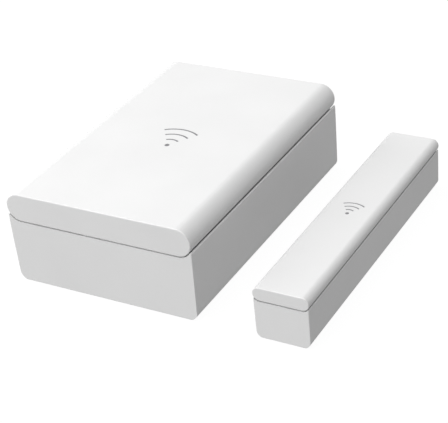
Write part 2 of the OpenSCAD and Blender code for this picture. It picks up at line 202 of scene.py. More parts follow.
def moulded(name, colour, rough, grain=0.11*MM, depth=0.004*MM, variation=0.015):
    """Injection-moulded plastic: a spark-eroded skin, faint flow mottling and uneven gloss."""
    s = Shader(name, colour, rough)
    s.colour_by(s.noise(14*MM, 2.0), tint(colour, 1 - variation), tint(colour, 1 + variation), 0.3, 0.7)
    s.rough_by(s.noise(1.1*MM, 4.0), rough - 0.04, rough + 0.05)
    s.bump(s.noise(grain, 2.0), depth, 0.6)
    s.bump(s.noise(6*MM, 1.0), 0.004*MM, 0.4)
    return s.material


def metal(name, colour, rough, grain_scale=(1, 1, 1), grain=0.06*MM, depth=0.003*MM):
    """Plated or drawn metal, with fine lines along the axis whose scale is smallest."""
    s = Shader(name, colour, rough, metal=1.0)
    lines = s.noise(grain, 3.0, s.stretched(grain_scale))
    s.colour_by(s.noise(1.6*MM, 3.0), tint(colour, 0.88), tint(colour, 1.06))
    s.rough_by(lines, rough - 0.07, rough + 0.12)
    s.bump(lines, depth, 0.5)
    return s.material


def laminate(name, colour):
    """Circuit board: solder mask over a woven glass core."""
    s = Shader(name, colour, 0.32)
    wave_x = s.node("ShaderNodeTexWave", bands_direction="X")
    wave_y = s.node("ShaderNodeTexWave", bands_direction="Y")
    weave = s.node("ShaderNodeMath", operation="MAXIMUM")
    for wave, socket in ((wave_x, 0), (wave_y, 1)):
        wave.inputs["Scale"].default_value = 1/(3.2*MM)
        s.link(s.place, wave.inputs["Vector"])
        s.link(wave.outputs["Fac"], weave.inputs[socket])
    s.colour_by(weave.outputs["Value"], tint(colour, 0.85), tint(colour, 1.25), 0.2, 0.9)
    s.rough_by(s.noise(2*MM, 3.0), 0.26, 0.4)
    s.bump(weave.outputs["Value"], 0.006*MM, 0.5)
    return s.material


def foam(name, colour):
    """Closed-cell foam with a fabric-fine pitted skin."""
    s = Shader(name, colour, 0.85, specular=0.25)
    s.colour_by(s.noise(0.5*MM, 4.0), tint(colour, 0.75), tint(colour, 1.3))
    s.rough_by(s.noise(0.9*MM, 3.0), 0.78, 0.95)
    s.bump(s.cells(0.22*MM), 0.05*MM, 0.8)
    return s.material


def glass(name):
    s = Shader(name, (0.90, 0.97, 0.94), 0.03)
    s.bsdf.inputs["Transmission Weight"].default_value = 1.0
    s.bsdf.inputs["IOR"].default_value = 1.5
    s.rough_by(s.noise(0.8*MM, 3.0), 0.01, 0.06)
    s.bump(s.noise(1.5*MM, 1.0), 0.004*MM, 0.5)
    return s.material


def sleeve(name, low, high):
    """Shrunk battery sleeve: a dark body and a pale band at the positive end, along Y."""
    s = Shader(name, (0.05, 0.07, 0.1), 0.28)
    s.bsdf.inputs["Coat Weight"].default_value = 0.4
    s.bsdf.inputs["Coat Roughness"].default_value = 0.12
    along = s.node("ShaderNodeSeparateXYZ")
    s.link(s.place, along.inputs["Vector"])
    band = s.node("ShaderNodeValToRGB")
    stops = band.color_ramp.elements
    band.color_ramp.interpolation = "CONSTANT"
    dark_blue, silver, fold_grey = (0.035, 0.05, 0.085), (0.62, 0.63, 0.64), (0.30, 0.30, 0.30)
    band_start, fold_start = 0.70, 0.965
    stops[0].color = (*dark_blue, 1)
    stops[1].position = band_start
    stops[1].color = (*silver, 1)
    stops.new(fold_start).color = (*fold_grey, 1)
    share = s.node("ShaderNodeMapRange")
    share.inputs["From Min"].default_value = low
    share.inputs["From Max"].default_value = high
    s.link(along.outputs["Y"], share.inputs["Value"])
    s.link(share.outputs["Result"], band.inputs["Fac"])
    s.link(band.outputs["Color"], s.bsdf.inputs["Base Color"])
    s.rough_by(s.noise(1.2*MM, 3.0), 0.2, 0.36)
    s.bump(s.noise(2.5*MM, 2.0), 0.03*MM, 0.35)
    s.bump(s.noise(0.3*MM, 2.0), 0.004*MM, 0.5)
    return s.material


# ---------------------------------------------------------------- materials

SATIN_WHITE = (0.70, 0.70, 0.70)
case_plastic = moulded("case_plastic", SATIN_WHITE, 0.46)
lid_plastic = moulded("lid_plastic", SATIN_WHITE, 0.42, depth=0.003*MM)
board_green = laminate("board_green", (0.018, 0.105, 0.050))
board_blue = laminate("board_blue", (0.012, 0.035, 0.13))
steel = metal("steel", (0.60, 0.60, 0.59), 0.30)
nickel = metal("nickel", (0.72, 0.70, 0.66), 0.22, (1, 1, 12))
tin = metal("tin", (0.70, 0.70, 0.69), 0.26, (14, 1, 14))
aluminium = metal("aluminium", (0.80, 0.80, 0.81), 0.30, (1, 1, 20))
gold = metal("gold", (0.90, 0.62, 0.26), 0.22)
magnet_skin = metal("magnet_skin", (0.40, 0.40, 0.41), 0.34, (6, 1, 6))
black_epoxy = moulded("black_epoxy", (0.022, 0.022, 0.024), 0.52, grain=0.06*MM)
black_nylon = moulded("black_nylon", (0.028, 0.028, 0.030), 0.40)
ceramic = moulded("ceramic", (0.36, 0.25, 0.15), 0.55, grain=0.08*MM, variation=0.12)
acetal_white = moulded("acetal_white", (0.72, 0.72, 0.70), 0.34)
acetal_red = moulded("acetal_red", (0.52, 0.055, 0.02), 0.34)
led_resin = moulded("led_resin", (0.78, 0.74, 0.50), 0.22)
pad_foam = foam("pad_foam", (0.10, 0.10, 0.105))
clear_glass = glass("clear_glass")
cell_low, cell_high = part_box("battery_cell")
cell_sleeve = sleeve("cell_sleeve", cell_low.y, cell_high.y)
# painted shade: this grey fills the lids' engraved marks and stands in for the shade inside the grooves
groove_painted_shade = moulded("groove_painted_shade", (0.21, 0.21, 0.22), 0.6, grain=0.05*MM, variation=0.08)
solder_tin = metal("solder_tin", (0.74, 0.74, 0.73), 0.20, depth=0.006*MM)
covered_copper = moulded("covered_copper", (0.035, 0.19, 0.085), 0.30, grain=0.2*MM, variation=0.08)
legend_white = moulded("legend_white", (0.74, 0.74, 0.72), 0.62, grain=0.05*MM, variation=0.05)
led_reflector = moulded("led_reflector", (0.80, 0.80, 0.78), 0.30, grain=0.05*MM)

NODE_MATERIALS = {
    "sensor_base": case_plastic,
    "sensor_lid": lid_plastic,
    "main_board": board_green,
    "board_screws": steel,
    "battery_cap": nickel,
    "battery_contact_positive": nickel,
    "battery_contact_negative": nickel,
    "reed_glass": clear_glass,
    "reed_leads": nickel,
    "radio_board": board_blue,
    "radio_shield": tin,
    "crystal_can": tin,
    "reservoir_capacitor": aluminium,
    "tamper_switch": black_nylon,
    "pairing_switch": black_nylon,
    "magnet_base": case_plastic,
    "magnet_lid": lid_plastic,
    "bar_magnet": magnet_skin,
}

for node_name, material in NODE_MATERIALS.items():
    slots = frame["nodes"][node_name].data.materials
    slots.clear()
    slots.append(material)


# ---------------------------------------------------------------- shape tools

def add_block(bm, low, high, place=Matrix.Identity(4)):
    """A box between two corners, given in place's own axes."""
    low, high = Vector(low), Vector(high)
    sized = Matrix.Translation((low + high)/2) @ Matrix.Diagonal((*(high - low), 1))
    bmesh.ops.create_cube(bm, size=1.0, matrix=place @ sized)


def add_prism(bm, outline, z0, z1):
    """An outline of (x, y) points, raised from z0 to z1."""
    bottom = [bm.verts.new((x, y, z0)) for x, y in outline]
    top = [bm.verts.new((x, y, z1)) for x, y in outline]
    bm.faces.new(bottom[::-1])
    bm.faces.new(top)
    for i, vert in enumerate(bottom):
        j = (i + 1) % len(bottom)
        bm.faces.new((vert, bottom[j], top[j], top[i]))


def add_band(bm, outer, inner, z0, z1):
    """A plate between two closed outlines that have the same number of points."""
    loops = [[bm.verts.new((x, y, z)) for x, y in loop]
             for loop, z in ((outer, z0), (outer, z1), (inner, z1), (inner, z0))]
    count = len(outer)
    for a, b in zip(loops, loops[1:] + loops[:1]):
        for i in range(count):
            j = (i + 1) % count
            bm.faces.new((a[i], a[j], b[j], b[i]))


def add_lathe(bm, profile, place=Matrix.Identity(4), steps=40, closed=False):
    """Turns (radius, height) points round place's Z axis; a closed profile makes a ring."""
    rings = []
    for radius, height in profile:
        angles = [0.0] if radius < 1e-7 else [math.tau*k/steps for k in range(steps)]
        rings.append([bm.verts.new(place @ Vector((radius*math.cos(a), radius*math.sin(a), height)))
                      for a in angles])
    if closed:
        rings.append(rings[0])
    for a, b in zip(rings, rings[1:]):
        for i in range(steps):
            j = (i + 1) % steps
            corners = [a[i % len(a)], a[j % len(a)], b[j % len(b)], b[i % len(b)]]
            bm.faces.new(list(dict.fromkeys(corners)))


def add_skin(bm, sections):
    """Joins equal loops of points, one after the other, into a closed solid."""
    loops = [[bm.verts.new(point) for point in section] for section in sections]
    for a, b in zip(loops, loops[1:]):
        for i in range(len(a)):
            j = (i + 1) % len(a)
            bm.faces.new((a[i], a[j], b[j], b[i]))
    bm.faces.new(loops[0])
    bm.faces.new(loops[-1])


def add_strip(bm, path, thick, width, place):
    """A bent strip: path runs in X and Z, thick is measured upwards and width along Y."""
    section = ((-width/2, 0), (width/2, 0), (width/2, thick), (-width/2, thick))
    add_skin(bm, [[place @ Vector((x, y, z + up)) for y, up in section] for x, z in path])


def arc(centre, radius, start, end, steps):
    """Points on a circle from start to end, in degrees."""
    angles = [math.radians(start + (end - start)*k/steps) for k in range(steps + 1)]
    return [(centre[0] + radius*math.cos(a), centre[1] + radius*math.sin(a)) for a in angles]


def rounded_outline(low, high, radius, steps=6):
    """A rectangle with round corners, anticlockwise from its right side's upper corner."""
    left, right = low[0] + radius, high[0] - radius
    front, back = low[1] + radius, high[1] - radius
    points = []
    for centre, turn in (((right, back), 0), ((left, back), 90), ((left, front), 180), ((right, front), 270)):
        points += arc(centre, radius, turn, turn + 90, steps)
    return points


def circle_outline(centre, radius, count):
    """A circle of count points that start where rounded_outline does, at 0 degrees."""
    return arc(centre, radius, 0, 360*(count - 1)/count, count - 1)


def finish_piece(name, bm, material, body, bevel=0.0, segments=2):
    """Makes an object of bm, softens its sharp edges and lets it ride on a CAD body."""
    bmesh.ops.recalc_face_normals(bm, faces=bm.faces)
    if bevel:
        edges = [e for e in bm.edges if e.is_manifold and e.calc_face_angle() > math.radians(40)]
        bmesh.ops.bevel(bm, geom=edges, offset=bevel, segments=segments, profile=0.5,
                        affect="EDGES", clamp_overlap=True)
    mesh = bpy.data.meshes.new(name)
    bm.to_mesh(mesh)
    bm.free()
    mesh.polygons.foreach_set("use_smooth", [True]*len(mesh.polygons))
    mesh.set_sharp_from_angle(angle=math.radians(50))
    mesh.materials.append(material)
    piece = bpy.data.objects.new(name, mesh)
    bpy.context.scene.collection.objects.link(piece)
    weighted = piece.modifiers.new("even_shading", "WEIGHTED_NORMAL")
    weighted.keep_sharp = True
    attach(piece, body)
    return piece


def islands(node):
    """Boxes of the separate solids in a CAD node, as (low, high) corners."""
    bm = bmesh.new()
    bm.from_mesh(frame["nodes"][node].data)
    bmesh.ops.remove_doubles(bm, verts=bm.verts, dist=0.001*MM)
    left = set(bm.verts)
    found = []
    while left:
        stack = [left.pop()]
        group = list(stack)
        while stack:
            for edge in stack.pop().link_edges:
                for vert in edge.verts:
                    if vert in left:
                        left.remove(vert)
                        stack.append(vert)
                        group.append(vert)
        found.append((Vector(min(v.co[i] for v in group) for i in range(3)),
                      Vector(max(v.co[i] for v in group) for i in range(3))))
    bm.free()
    return sorted(found, key=lambda box: tuple(box[0]))


# ---------------------------------------------------------------- lid symbols and the painted shade in their grooves

MARK_ARCS = 3
MARK_DEPTH = 0.2*MM
# the fill made with these sizes is painted shade in the engraved grooves
SHADE_FILL_BELOW_FACE = 0.05*MM
SHADE_FILL_GAP = 0.01*MM


def add_groove_painted_shade(name, lid, body, size, line):
    """Painted shade: a grey fill in a lid's engraved dot and arcs, up to just under the face, that darkens
    the grooves in place of their shade.
    """
    centre = middle(lid)
    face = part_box(lid)[1].z
    floor, top = face - MARK_DEPTH - SHADE_FILL_GAP, face - SHADE_FILL_BELOW_FACE
    dot = (centre.x, centre.y - size/2)
    pitch = size/(MARK_ARCS + 0.5)
    bm = bmesh.new()
    add_prism(bm, circle_outline(dot, 1.2*line - SHADE_FILL_GAP, 32), floor, top)
    for i in range(1, MARK_ARCS + 1):
        inner, outer = i*pitch + SHADE_FILL_GAP, i*pitch + line - SHADE_FILL_GAP
        add_prism(bm, arc(dot, outer, 55, 125, 28) + arc(dot, inner, 125, 55, 28), floor, top)
    finish_piece(name, bm, groove_painted_shade, body, bevel=0.02*MM)


# painted shade: grey fill in the engraved symbols of both lids
add_groove_painted_shade("sensor_symbol_painted_shade", "sensor_lid", "sensor_cover", 7.4*MM, 0.42*MM)
add_groove_painted_shade("magnet_symbol_painted_shade", "magnet_lid", "magnet_cover", 4.2*MM, 0.315*MM)


# ---------------------------------------------------------------- circuit board

BOARD_LOW, BOARD_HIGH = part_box("main_board")
BOARD_TOP = BOARD_HIGH.z
FOIL = 0.035*MM
INK = 0.02*MM
SINK = 0.01*MM
TRACK_WIDTH = 0.2*MM
WIDE_TRACK = 0.35*MM
CHIPS = islands("chip_resistors") + islands("chip_capacitors")
SWITCHES = ("tamper_switch", "pairing_switch")


def add_fillet(bm, x, y, base_r, top_r, height):
    """A concave cone of solder round a pin."""
    levels = (0, 0.15, 0.35, 0.6, 0.85, 1)
    rise = [(top_r + (base_r - top_r)*(1 - t)**2.2, height*t) for t in levels]
    profile = [(0, -SINK), (base_r, -SINK)] + rise + [(0, height + 0.3*top_r)]
    add_lathe(bm, profile, Matrix.Translation((x, y, BOARD_TOP)), 24)


def add_dome(bm, x, y, radius, height, z=BOARD_TOP):
    """A low blob, such as solder over the end of a strap."""
    angles = [math.radians(15*k) for k in range(6)]
    curve = [(radius*math.cos(a), height*math.sin(a)) for a in angles]
    add_lathe(bm, [(0, -SINK)] + curve + [(0, height)], Matrix.Translation((x, y, z)), 24)


def add_trace(bm, points, width, z=BOARD_TOP):
    """A raised strip along points, mitred at each bend."""
    points = [Vector(p) for p in points]
    ways = [(b - a).normalized() for a, b in zip(points, points[1:])]
    sections = []
    for point, before, after in zip(points, [ways[0]] + ways, ways + [ways[-1]]):
        way = (before + after).normalized()
        across = Vector((-way.y, way.x))*width/2/way.dot(after)
        left, right = point + across, point - across
        sections.append([(*left, z - SINK), (*right, z - SINK), (*right, z + FOIL), (*left, z + FOIL)])
    add_skin(bm, sections)


def dogleg(start, end):
    """A route that leaves along Y, crosses at 45 degrees and arrives along Y."""
    (x0, y0), (x1, y1) = start, end
    turn = math.copysign(abs(x1 - x0), y1 - y0)
    wait = (y1 - y0 - turn)/2
    return [(x0, y0), (x0, y0 + wait), (x1, y1 - wait), (x1, y1)]


def add_outline(bm, low, high, margin):
    """A printed frame round a part."""
    line, corner_r = 0.15*MM, 0.4*MM
    near, far = margin, margin + line
    outer = rounded_outline((low.x - far, low.y - far), (high.x + far, high.y + far), corner_r + line)
    inner = rounded_outline((low.x - near, low.y - near), (high.x + near, high.y + near), corner_r)
    add_band(bm, outer, inner, BOARD_TOP - SINK, BOARD_TOP + INK)


def reed_feet():
    """Where the reed's wires stand on the board."""
    low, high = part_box("reed_leads")
    x, wire_r = (low.x + high.x)/2, 0.3*MM
    return [(x, low.y + wire_r), (x, high.y - wire_r)]


def switch_feet():
    """Centres of the metal feet of both switches."""
    foot_inset, foot_spacing = 0.3*MM, 4*MM
    feet = []
    for node in SWITCHES:
        low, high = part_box(node)
        for x in (low.x + foot_inset, high.x - foot_inset):
            for side in (-1, 1):
                feet.append((x, middle(node).y + side*foot_spacing/2))
    return feet


controller_low, controller_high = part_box("microcontroller")
controller_mid = middle("microcontroller")
LEG_COUNT = 7
LEG_PITCH = 0.75*MM
LEG_REACH = (controller_high.x - controller_low.x)/2


def leg_offsets():
    """Places of the controller's legs along one side, from its centre."""
    return [(i - (LEG_COUNT - 1)/2)*LEG_PITCH for i in range(LEG_COUNT)]


def module_pads():
    """Castellated pads along the radio board's long sides and its front edge."""
    low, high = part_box("radio_board")
    long_side = [low.y + 1.2*MM + k*1.4*MM for k in range(10)]
    front = [low.x + 1.3*MM + k*1.5*MM for k in range(7)]
    return ([(low.x, y, 180) for y in long_side] + [(high.x, y, 0) for y in long_side]
            + [(x, low.y, 270) for x in front])


def via_routes():
    """Tracks that end in a plated hole, as (start, end): four controller legs and the reed's feet."""
    legs = [(controller_mid.x + u, controller_low.y) for u in leg_offsets()[3:]]
    routes = [(leg, (leg[0] + (k + 1)*0.5*MM, leg[1] - (2.4*MM - 0.3*k*MM))) for k, leg in enumerate(legs)]
    front, rear = reed_feet()
    routes.append((front, (front[0] - 1.2*MM, front[1] - 3.7*MM)))
    routes.append((rear, (rear[0] - 1.5*MM, rear[1] - 5.0*MM)))
    return routes


def add_tracks():
    """Copper tracks under the solder mask: a fan to the radio, and runs to the other parts."""
    bm = bmesh.new()
    front_pads = [(x, y - 0.2*MM) for x, y, turn in module_pads() if turn == 270]
    legs_back = [(controller_mid.x + u, controller_high.y) for u in leg_offsets()]
    for leg, pad in zip(legs_back, front_pads):
        add_trace(bm, dogleg(leg, pad), TRACK_WIDTH)
    for start, end in via_routes():
        add_trace(bm, dogleg(start, end), TRACK_WIDTH)
    for low, high in CHIPS:
        x = (low.x + high.x)/2
        add_trace(bm, [(x, low.y - 0.9*MM), (x, low.y)], WIDE_TRACK)
        add_trace(bm, [(x, high.y), (x, high.y + 0.9*MM)], WIDE_TRACK)
    for x, y in switch_feet():
        add_trace(bm, [(x, y), (x, y + 1.1*MM)], WIDE_TRACK)
    finish_piece("board_tracks", bm, covered_copper, "sensor_body")


def add_pads_and_vias():
    """Bare gilded copper: pads under parts, and plated holes along the board's right side."""
    bm = bmesh.new()
    wider, longer = 0.15*MM, 0.45*MM
    for low, high in CHIPS:
        for y in (low.y, high.y):
            add_block(bm, (low.x - wider, y - longer, BOARD_TOP - SINK),
                      (high.x + wider, y + longer, BOARD_TOP + FOIL))
    for foot in switch_feet() + reed_feet():
        add_prism(bm, circle_outline(foot, 0.95*MM, 28), BOARD_TOP - SINK, BOARD_TOP + FOIL)
    screws = [(low + high)/2 for low, high in islands("board_screws")]
    holes = [end for start, end in via_routes()]
    for k in range(13):
        hole = Vector((BOARD_HIGH.x - 0.9*MM, BOARD_LOW.y + 3*MM + k*4*MM))
        if all((hole - screw.xy).length > 5*MM for screw in screws):
            holes.append(hole)
    bore_r, ring_r = 0.18*MM, 0.38*MM
    ring = [(bore_r, -SINK), (ring_r, -SINK), (ring_r, 1.2*FOIL), (bore_r, 1.2*FOIL)]
    for x, y in holes:
        add_lathe(bm, ring, Matrix.Translation((x, y, BOARD_TOP)), 20, closed=True)
    for screw in screws:
        add_band(bm, circle_outline(screw.xy, 2.6*MM, 40), circle_outline(screw.xy, 1.25*MM, 40),
                 BOARD_TOP - SINK, BOARD_TOP - SINK/2 + FOIL)
    finish_piece("board_pads", bm, gold, "sensor_body")


def add_legend():
    """White printed outlines round the parts; there is no lettering."""
    bm = bmesh.new()
    for node, margin in (("reed_leads", 0.9), ("crystal_can", 0.5), ("tamper_switch", 0.4),
                         ("pairing_switch", 0.4), ("status_led", 0.4), ("antenna_coil", 0.5)):
        low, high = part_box(node)
        add_outline(bm, low, high, margin*MM)
    can = middle("reservoir_capacitor")
    ring_r, line = 4.7*MM, 0.15*MM
    for start, end in ((-60, 60), (120, 240)):
        ring = arc(can.xy, ring_r, start, end, 24) + arc(can.xy, ring_r - line, end, start, 24)
        add_prism(bm, ring, BOARD_TOP - SINK, BOARD_TOP + INK)
    for low, high in CHIPS:
        for x in (low.x - 0.35*MM, high.x + 0.35*MM):
            add_trace(bm, [(x, low.y), (x, high.y)], 0.12*MM, BOARD_TOP - 0.5*SINK)
    finish_piece("board_legend", bm, legend_white, "sensor_body")


def add_wedge(bm, place):
    """Solder that climbs from a board pad up the edge of the radio module."""
    slope = ((0.0, 0.6), (0.05, 0.42), (0.12, 0.28), (0.25, 0.14), (0.5, 0.03))
    sections = []
    for out, height in slope:
        corners = ((-0.38*MM, -SINK), (0.38*MM, -SINK), (0.30*MM, height*MM), (-0.30*MM, height*MM))
        sections.append([place @ Vector((out*MM, side, up)) for side, up in corners])
    add_skin(bm, sections)


def add_solder():
    """Solder on the wire ends, the switch feet, the battery straps and the radio's edge."""
    bm = bmesh.new()
    for x, y in reed_feet():
        add_fillet(bm, x, y, 0.85*MM, 0.34*MM, 0.9*MM)
    for x, y in coil_ends():
        add_fillet(bm, x, y, 0.85*MM, 0.33*MM, 0.8*MM)
    for x, y in switch_feet():
        add_dome(bm, x, y, 0.62*MM, 0.34*MM)
    strap_end = 0.7*MM
    plus_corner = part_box("battery_contact_positive")[1]
    minus_low, minus_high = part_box("battery_contact_negative")
    add_dome(bm, plus_corner.x - strap_end, plus_corner.y - 0.8*MM, 0.62*MM, 0.5*MM)
    add_dome(bm, minus_high.x - strap_end, minus_low.y + 1.9*MM, 0.62*MM, 0.5*MM)
    for x, y, turn in module_pads():
        place = Matrix.Translation((x, y, BOARD_TOP)) @ Matrix.Rotation(math.radians(turn), 4, "Z")
        add_wedge(bm, place)
    finish_piece("solder_joints", bm, solder_tin, "sensor_body")


def add_module_edge():
    """Plated half-pads on the radio board's top and edge."""
    bm = bmesh.new()
    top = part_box("radio_board")[1].z
    for x, y, turn in module_pads():
        place = Matrix.Translation((x, y, 0)) @ Matrix.Rotation(math.radians(turn), 4, "Z")
        add_block(bm, (-0.7*MM, -0.35*MM, top - SINK), (0.02*MM, 0.35*MM, top + FOIL), place)
        add_block(bm, (-0.02*MM, -0.35*MM, BOARD_TOP), (0.02*MM, 0.35*MM, top + FOIL), place)
    finish_piece("module_pads", bm, gold, "sensor_body")


# ---------------------------------------------------------------- parts on the board

coil_low, coil_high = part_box("antenna_coil")
WIRE_R = 0.3*MM
COIL_TURNS = 6
COIL_R = (coil_high.x - coil_low.x)/2 - WIRE_R
COIL_START = Vector(((coil_low.x + coil_high.x)/2, coil_low.y + WIRE_R, (coil_low.z + coil_high.z)/2))
COIL_PITCH = (coil_high.y - coil_low.y - 2*WIRE_R)/COIL_TURNS


def coil_ends():
    """Where the coil's two tails go into the board."""
    return [(COIL_START.x + COIL_R, COIL_START.y),
            (COIL_START.x - COIL_R, COIL_START.y + (COIL_TURNS + 0.5)*COIL_PITCH)]


def add_coil():
    """The spring aerial: round turns and a straight tail at each end."""
    steps = 28
    (x0, y0), (x1, y1) = coil_ends()
    points = [Vector((x0, y0, BOARD_TOP - 0.5*MM)), Vector((x0, y0, BOARD_TOP + 1.2*MM))]
    for i in range(int((COIL_TURNS + 0.5)*steps) + 1):
        a = math.tau*i/steps
        points.append(COIL_START + Vector((COIL_R*math.cos(a), COIL_PITCH*i/steps, COIL_R*math.sin(a))))
    points += [Vector((x1, y1, BOARD_TOP + 1.2*MM)), Vector((x1, y1, BOARD_TOP - 0.5*MM))]
    curve = bpy.data.curves.new("antenna_spring", "CURVE")
    curve.dimensions = "3D"
    curve.bevel_depth = WIRE_R
    curve.bevel_resolution = 4
    curve.use_fill_caps = True
    spline = curve.splines.new("POLY")
    spline.points.add(len(points) - 1)
    for point, place in zip(spline.points, points):
        point.co = (*place, 1)
    curve.materials.append(gold)
    spring = bpy.data.objects.new("antenna_spring", curve)
    bpy.context.scene.collection.objects.link(spring)
    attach(spring, "sensor_body")
    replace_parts(spring, "antenna_coil")


def add_controller():
    """The flat package: a chamfered body with a first-leg dimple, and gull-wing legs."""
    mid, top = controller_mid, controller_high.z
    half, cut = 3*MM, 0.7*MM
    bm = bmesh.new()
    outline = [(mid.x - half, mid.y - half), (mid.x + half, mid.y - half), (mid.x + half, mid.y + half),
               (mid.x - half + cut, mid.y + half), (mid.x - half, mid.y + half - cut)]
    add_prism(bm, outline, BOARD_TOP + 0.15*MM, top)
    body = finish_piece("controller_package", bm, black_epoxy, "sensor_body", 0.08*MM)
    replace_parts(body, "microcontroller")
    bm = bmesh.new()
    rim = [(0, -SINK), (0.38*MM, -SINK), (0.38*MM, 0.012*MM), (0.30*MM, 0.02*MM), (0, 0.004*MM)]
    add_lathe(bm, rim, Matrix.Translation((mid.x - half + 1.25*MM, mid.y + half - 1.25*MM, top)), 28)
    finish_piece("controller_dimple", bm, black_nylon, "sensor_body")
    bm = bmesh.new()
    bend = [(0, 0.55), (0.28, 0.55), (0.38, 0.50), (0.43, 0.40),
            (0.47, 0.14), (0.53, 0.04), (0.62, 0.01), (1.0, 0.01)]
    reach = LEG_REACH - 1.0*MM
    path = [(reach + u*MM, z*MM) for u, z in bend]
    for turn in range(4):
        for u in leg_offsets():
            place = (Matrix.Translation((mid.x, mid.y, BOARD_TOP)) @ Matrix.Rotation(math.tau*turn/4, 4, "Z")
                     @ Matrix.Translation((0, u, 0)))
            add_strip(bm, path, 0.13*MM, 0.3*MM, place)
    finish_piece("controller_legs", bm, solder_tin, "sensor_body", 0.015*MM, 1)


def add_chips(node, body_name, ends_name, material, share):
    """Small chips: a fired body and two tinned end caps, share of its length each."""
    body, ends = bmesh.new(), bmesh.new()
    for low, high in islands(node):
        cap = share*(high.y - low.y)
        thin = Vector((0.03, 0, 0.03))*MM
        add_block(body, Vector((low.x, low.y + cap*0.9, low.z)) + Vector((thin.x, 0, 0)),
                  Vector((high.x, high.y - cap*0.9, high.z)) - thin)
        add_block(ends, low, (high.x, low.y + cap, high.z))
        add_block(ends, (low.x, high.y - cap, low.z), high)
    made = finish_piece(body_name, body, material, "sensor_body", 0.04*MM)
    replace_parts(made, node)
    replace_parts(finish_piece(ends_name, ends, solder_tin, "sensor_body", 0.07*MM), node)


def add_led():
    """The indicator: a reflector cup on its substrate, and a domed phosphor fill."""
    low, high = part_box("status_led")
    mid = middle("status_led")
    bm = bmesh.new()
    add_block(bm, low, (high.x, high.y, low.z + 0.5*MM))
    cup = (Vector((low.x + 0.05*MM, mid.y - 1*MM)), Vector((high.x - 0.05*MM, mid.y + 1*MM)))
    outer = rounded_outline(cup[0], cup[1], 0.2*MM)
    inner = rounded_outline(cup[0] + Vector((0.22, 0.22))*MM, cup[1] - Vector((0.22, 0.22))*MM, 0.3*MM)
    add_band(bm, outer, inner, low.z + 0.48*MM, high.z)
    base = finish_piece("led_cup", bm, led_reflector, "sensor_body", 0.03*MM)
    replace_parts(base, "status_led")
    bm = bmesh.new()
    levels = ((1.0, 0.48), (1.0, 1.05), (0.9, 1.10), (0.6, 1.14), (0.25, 1.16))
    rings = []
    for share, z in levels:
        loop = [(mid.x + (x - mid.x)*share, mid.y + (y - mid.y)*share) for x, y in inner]
        rings.append([bm.verts.new((x, y, low.z + z*MM)) for x, y in loop])
    for a, b in zip(rings, rings[1:]):
        for i in range(len(a)):
            j = (i + 1) % len(a)
            bm.faces.new((a[i], a[j], b[j], b[i]))
    bm.faces.new(rings[0][::-1])
    bm.faces.new(rings[-1])
    finish_piece("led_phosphor", bm, led_resin, "sensor_body")


def add_switch_plate(node):
    """The steel plate riveted on a push switch, with a round hole for its plunger."""
    low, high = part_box(node)
    mid = middle(node)
    half = (high.y - low.y)/2
    hole_r = 1.95*MM
    inner = circle_outline((mid.x, mid.y), hole_r, 72)
    outer = []
    for x, y in inner:
        way = Vector((x - mid.x, y - mid.y))/hole_r
        reach = min(half/max(abs(way.x), abs(way.y)), 1.32*half)
        outer.append((mid.x + way.x*reach, mid.y + way.y*reach))
    bm = bmesh.new()
    add_band(bm, outer, inner, high.z - SINK, high.z + 0.16*MM)
    finish_piece(node + "_plate", bm, steel, "sensor_body", 0.03*MM)
    bm = bmesh.new()
    for sx in (-1, 1):
        for sy in (-1, 1):
            add_dome(bm, mid.x + sx*2.3*MM, mid.y + sy*2.3*MM, 0.42*MM, 0.2*MM, high.z + 0.15*MM)
    finish_piece(node + "_rivets", bm, black_nylon, "sensor_body")


def add_plunger(name, node, body, material):
    """A switch's plunger, with a rounded top and a shallow dish."""
    low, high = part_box(node)
    mid, radius = middle(node), (high.x - low.x)/2
    round_r = 0.3*MM
    edge = arc((radius - round_r, high.z - round_r), round_r, 0, 90, 5)
    profile = [(0, low.z), (radius - 0.1*MM, low.z), (radius, low.z + 0.1*MM)] + edge
    profile += [(0.6*radius, high.z - 0.03*MM), (0.3*radius, high.z - 0.08*MM), (0, high.z - 0.09*MM)]
    bm = bmesh.new()
    add_lathe(bm, profile, Matrix.Translation((mid.x, mid.y, 0)), 48)
    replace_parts(finish_piece(name, bm, material, body), node)


def add_capacitor_detail():
    """On the can: a printed polarity segment, and a scored vent cross in its top."""
    low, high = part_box("reservoir_capacitor")
    mid = middle("reservoir_capacitor")
    radius = 3.15*MM
    bm = bmesh.new()
    shell = 0.012*MM
    wedge = arc(mid.xy, radius + shell, 150, 210, 20) + arc(mid.xy, radius - 0.1*MM, 210, 150, 20)
    add_prism(bm, wedge, low.z + 3.1*MM, high.z - 0.9*MM)
    cap = arc(mid.xy, radius - 0.35*MM, 140, 220, 20)
    add_prism(bm, cap, high.z - SINK, high.z + shell)
    finish_piece("capacitor_print", bm, black_nylon, "sensor_body")
    bm = bmesh.new()
    for turn in (0, 90):
        across = Matrix.Rotation(math.radians(turn), 2)
        ends = [across @ Vector((s*2.0*MM, 0)) for s in (-1, 1)]
        add_trace(bm, [(mid.x + e.x, mid.y + e.y) for e in ends], 0.16*MM, high.z)
    finish_piece("capacitor_vent", bm, aluminium, "sensor_body", 0.01*MM, 1)


# ---------------------------------------------------------------- battery and pads

